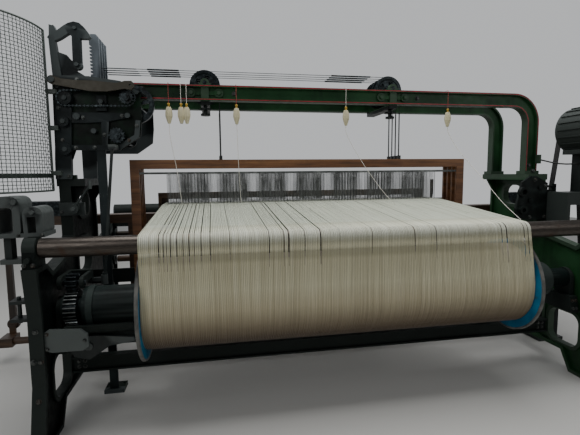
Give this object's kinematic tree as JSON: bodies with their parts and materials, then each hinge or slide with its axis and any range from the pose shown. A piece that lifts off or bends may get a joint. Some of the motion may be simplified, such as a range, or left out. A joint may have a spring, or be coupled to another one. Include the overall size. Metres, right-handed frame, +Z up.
{
  "type": "power loom",
  "caption": "Wide fancy power loom with a full warp beam, raised heald shafts under twin green arches and a dobby head at its left end.",
  "frame": {"origin": "on the floor, under the centre of the loom's bounding box", "axes": "+X across the loom to the right as the warp-beam side is faced, +Y from the warp beam towards the weaver's breast beam, +Z up"},
  "size_m": [4.3, 1.6, 2.074],
  "materials": {
    "dark_iron": "worn",
    "green_paint": "worn",
    "guard_wire": "worn",
    "grey_casting": "worn",
    "bright_steel": "worn",
    "oily_steel": "worn",
    "drum_paint": "worn",
    "blue_paint": "worn",
    "yarn": "matte",
    "cotton": "matte",
    "heald_wood": "satin",
    "lever_brown": "worn",
    "motor_paint": "worn",
    "belt_rubber": "matte"
  },
  "bodies": {
    "frame": {"side_frame_left": "dark_iron", "side_frame_right": "green_paint", "arches": "green_paint", "cross_rails": "dark_iron", "breast_beam": "dark_iron", "sheave_brackets": "green_paint", "harness_cords": "oily_steel", "backrest_brackets": "dark_iron", "beam_cradles": "dark_iron", "warp_sheet": "yarn", "cloth": "yarn", "dobby_near_plate": "dark_iron", "dobby_far_plate": "dark_iron", "dobby_chain": "oily_steel", "top_bow": "dark_iron", "wire_guard": "guard_wire", "pick_castings": "grey_casting", "motor": "motor_paint", "drive_belt": "belt_rubber", "motor_cable": "belt_rubber", "spare_pirns": "cotton"},
    "warp_beam_turning": {"warp_beam": "drum_paint", "beam_flanges": "blue_paint", "warp_yarn": "yarn", "beam_gear": "oily_steel"},
    "pinion": {"let_off_pinion": "oily_steel"},
    "rest_roller": {"back_roller": "bright_steel"},
    "sheaves_l": {"sheaves_left": "oily_steel"},
    "sheaves_r": {"sheaves_right": "oily_steel"},
    "sley_swing": {"sley": "heald_wood", "reed": "bright_steel", "shuttle_boxes": "oily_steel"},
    "shuttle_run": {"shuttle": "heald_wood"},
    "stick_l": {"picking_stick_left": "heald_wood"},
    "stick_r": {"picking_stick_right": "heald_wood"},
    "arms": {"crank_arms": "dark_iron"},
    "crank": {"crankshaft": "bright_steel", "hand_wheel": "oily_steel"},
    "tappet_shaft": {"bottom_shaft": "bright_steel"},
    "take_up": {"take_up_roller": "bright_steel"},
    "cloth_beam": {"cloth_roller": "heald_wood"},
    "handle": {"start_handle": "bright_steel"},
    "motor_wheel": {"motor_pulley": "bright_steel"},
    "drive_wheel": {"drive_pulley": "motor_paint"},
    "ring_wheel": {"dobby_wheel": "oily_steel"},
    "chain_wheel": {"upper_sprocket": "oily_steel"},
    "pattern_wheel": {"lower_sprocket": "oily_steel"},
    "latch": {"latch_lever": "lever_brown"},
    "heald_1": {"heald_shaft_1": "heald_wood"},
    "jack_1_arm": {"jack_1": "oily_steel"},
    "cord_rod_1": {"harness_rod_1": "oily_steel"},
    "heald_2": {"heald_shaft_2": "heald_wood"},
    "jack_2_arm": {"jack_2": "oily_steel"},
    "cord_rod_2": {"harness_rod_2": "oily_steel"},
    "heald_3": {"heald_shaft_3": "heald_wood"},
    "jack_3_arm": {"jack_3": "oily_steel"},
    "cord_rod_3": {"harness_rod_3": "oily_steel"},
    "heald_4": {"heald_shaft_4": "heald_wood"},
    "jack_4_arm": {"jack_4": "oily_steel"},
    "cord_rod_4": {"harness_rod_4": "oily_steel"}
  },
  "joints": [
    {"name": "beam_turn", "type": "hinge", "parent": "frame", "child": "warp_beam_turning", "pos_m": [0, -0.51, 0.596], "axis": [1, 0, 0], "continuous": true},
    {"name": "pinion_turn", "type": "hinge", "parent": "frame", "child": "pinion", "pos_m": [-1.4, -0.51, 0.72275], "axis": [1, 0, 0], "continuous": true},
    {"name": "roller_turn", "type": "hinge", "parent": "frame", "child": "rest_roller", "pos_m": [0, -0.698, 0.934], "axis": [1, 0, 0], "continuous": true},
    {"name": "left_sheaves_turn", "type": "hinge", "parent": "frame", "child": "sheaves_l", "pos_m": [-0.73, 0, 1.79], "axis": [0, 1, 0], "range_deg": [-40, 40]},
    {"name": "right_sheaves_turn", "type": "hinge", "parent": "frame", "child": "sheaves_r", "pos_m": [0.44, 0, 1.79], "axis": [0, 1, 0], "range_deg": [-40, 40]},
    {"name": "heald_1_lift", "type": "slide", "parent": "frame", "child": "heald_1", "axis": [0, 0, 1], "range_m": [-0.08, 0]},
    {"name": "jack_1_pull", "type": "hinge", "parent": "frame", "child": "jack_1_arm", "pos_m": [-1.33, -0.102, 1.5], "axis": [0, 1, 0], "range_deg": [-1, 13]},
    {"name": "cord_1_pull", "type": "slide", "parent": "frame", "child": "cord_rod_1", "axis": [1, 0, 0], "range_m": [-0.002, 0.082]},
    {"name": "heald_2_lift", "type": "slide", "parent": "frame", "child": "heald_2", "axis": [0, 0, 1], "range_m": [-0.08, 0]},
    {"name": "jack_2_pull", "type": "hinge", "parent": "frame", "child": "jack_2_arm", "pos_m": [-1.33, -0.048, 1.5], "axis": [0, 1, 0], "range_deg": [-1, 13]},
    {"name": "cord_2_pull", "type": "slide", "parent": "frame", "child": "cord_rod_2", "axis": [1, 0, 0], "range_m": [-0.002, 0.082]},
    {"name": "heald_3_lift", "type": "slide", "parent": "frame", "child": "heald_3", "axis": [0, 0, 1], "range_m": [-0.08, 0]},
    {"name": "jack_3_pull", "type": "hinge", "parent": "frame", "child": "jack_3_arm", "pos_m": [-1.33, 0.006, 1.5], "axis": [0, 1, 0], "range_deg": [-1, 13]},
    {"name": "cord_3_pull", "type": "slide", "parent": "frame", "child": "cord_rod_3", "axis": [1, 0, 0], "range_m": [-0.002, 0.082]},
    {"name": "heald_4_lift", "type": "slide", "parent": "frame", "child": "heald_4", "axis": [0, 0, 1], "range_m": [-0.08, 0]},
    {"name": "jack_4_pull", "type": "hinge", "parent": "frame", "child": "jack_4_arm", "pos_m": [-1.33, 0.06, 1.5], "axis": [0, 1, 0], "range_deg": [-1, 13]},
    {"name": "cord_4_pull", "type": "slide", "parent": "frame", "child": "cord_rod_4", "axis": [1, 0, 0], "range_m": [-0.002, 0.082]},
    {"name": "sley_swing", "type": "hinge", "parent": "frame", "child": "sley_swing", "pos_m": [0, 0.284, 0.15], "axis": [-1, 0, 0], "range_deg": [0, 8.4]},
    {"name": "shuttle_flight", "type": "slide", "parent": "sley_swing", "child": "shuttle_run", "axis": [1, 0, 0], "range_m": [0, 3.7]},
    {"name": "left_stick_swing", "type": "hinge", "parent": "sley_swing", "child": "stick_l", "pos_m": [-2.09, 0.284, 0.24], "axis": [0, 1, 0], "range_deg": [0, 14]},
    {"name": "right_stick_swing", "type": "hinge", "parent": "sley_swing", "child": "stick_r", "pos_m": [2.09, 0.284, 0.24], "axis": [0, 1, 0], "range_deg": [-14, 0]},
    {"name": "arm_swing", "type": "hinge", "parent": "sley_swing", "child": "arms", "pos_m": [0, 0.248, 0.47], "axis": [1, 0, 0], "range_deg": [-0.5, 9]},
    {"name": "crank_turn", "type": "hinge", "parent": "frame", "child": "crank", "pos_m": [0, -0.06, 0.47], "axis": [1, 0, 0], "continuous": true},
    {"name": "tappet_turn", "type": "hinge", "parent": "frame", "child": "tappet_shaft", "pos_m": [0, 0.06018, 0.336], "axis": [1, 0, 0], "continuous": true},
    {"name": "take_up_turn", "type": "hinge", "parent": "frame", "child": "take_up", "pos_m": [0, 0.732, 0.8], "axis": [1, 0, 0], "continuous": true},
    {"name": "cloth_roller_turn", "type": "hinge", "parent": "frame", "child": "cloth_beam", "pos_m": [0, 0.672, 0.61], "axis": [1, 0, 0], "continuous": true},
    {"name": "start_handle_swing", "type": "hinge", "parent": "frame", "child": "handle", "pos_m": [1.187, 0.704, 0.7], "axis": [1, 0, 0], "range_deg": [0, 12]},
    {"name": "motor_turn", "type": "hinge", "parent": "frame", "child": "motor_wheel", "pos_m": [1.76, -0.2, 1.53], "axis": [0, 1, 0], "continuous": true},
    {"name": "drive_turn", "type": "hinge", "parent": "frame", "child": "drive_wheel", "pos_m": [1.75, -0.15, 0.47], "axis": [0, 1, 0], "continuous": true},
    {"name": "ring_wheel_turn", "type": "hinge", "parent": "frame", "child": "ring_wheel", "pos_m": [-1.118, 0, 1.65], "axis": [0, 1, 0], "continuous": true},
    {"name": "chain_wheel_turn", "type": "hinge", "parent": "frame", "child": "chain_wheel", "pos_m": [-1.15, -0.234, 1.68], "axis": [0, 1, 0], "continuous": true},
    {"name": "pattern_wheel_turn", "type": "hinge", "parent": "frame", "child": "pattern_wheel", "pos_m": [-1.208, -0.234, 1.475], "axis": [0, 1, 0], "continuous": true},
    {"name": "latch_swing", "type": "hinge", "parent": "frame", "child": "latch", "pos_m": [-1.508, -0.304, 1.756], "axis": [0, 1, 0], "range_deg": [-10, 0]}
  ],
  "couplings": [
    {"joint": "pinion_turn", "follows": "beam_turn", "ratio": -2},
    {"joint": "tappet_turn", "follows": "crank_turn", "ratio": -0.5},
    {"joint": "drive_turn", "follows": "crank_turn", "ratio": -1},
    {"joint": "motor_turn", "follows": "crank_turn", "ratio": -3.0546},
    {"joint": "arm_swing", "follows": "sley_swing", "ratio": 1},
    {"joint": "cloth_roller_turn", "follows": "take_up_turn", "ratio": 0.71429},
    {"joint": "cord_1_pull", "follows": "heald_1_lift", "ratio": -1},
    {"joint": "jack_1_pull", "follows": "heald_1_lift", "rad_per_m": -2.6738},
    {"joint": "cord_2_pull", "follows": "heald_2_lift", "ratio": -1},
    {"joint": "jack_2_pull", "follows": "heald_2_lift", "rad_per_m": -2.6738},
    {"joint": "cord_3_pull", "follows": "heald_3_lift", "ratio": -1},
    {"joint": "jack_3_pull", "follows": "heald_3_lift", "rad_per_m": -2.6738},
    {"joint": "cord_4_pull", "follows": "heald_4_lift", "ratio": -1},
    {"joint": "jack_4_pull", "follows": "heald_4_lift", "rad_per_m": -2.6738}
  ]
}
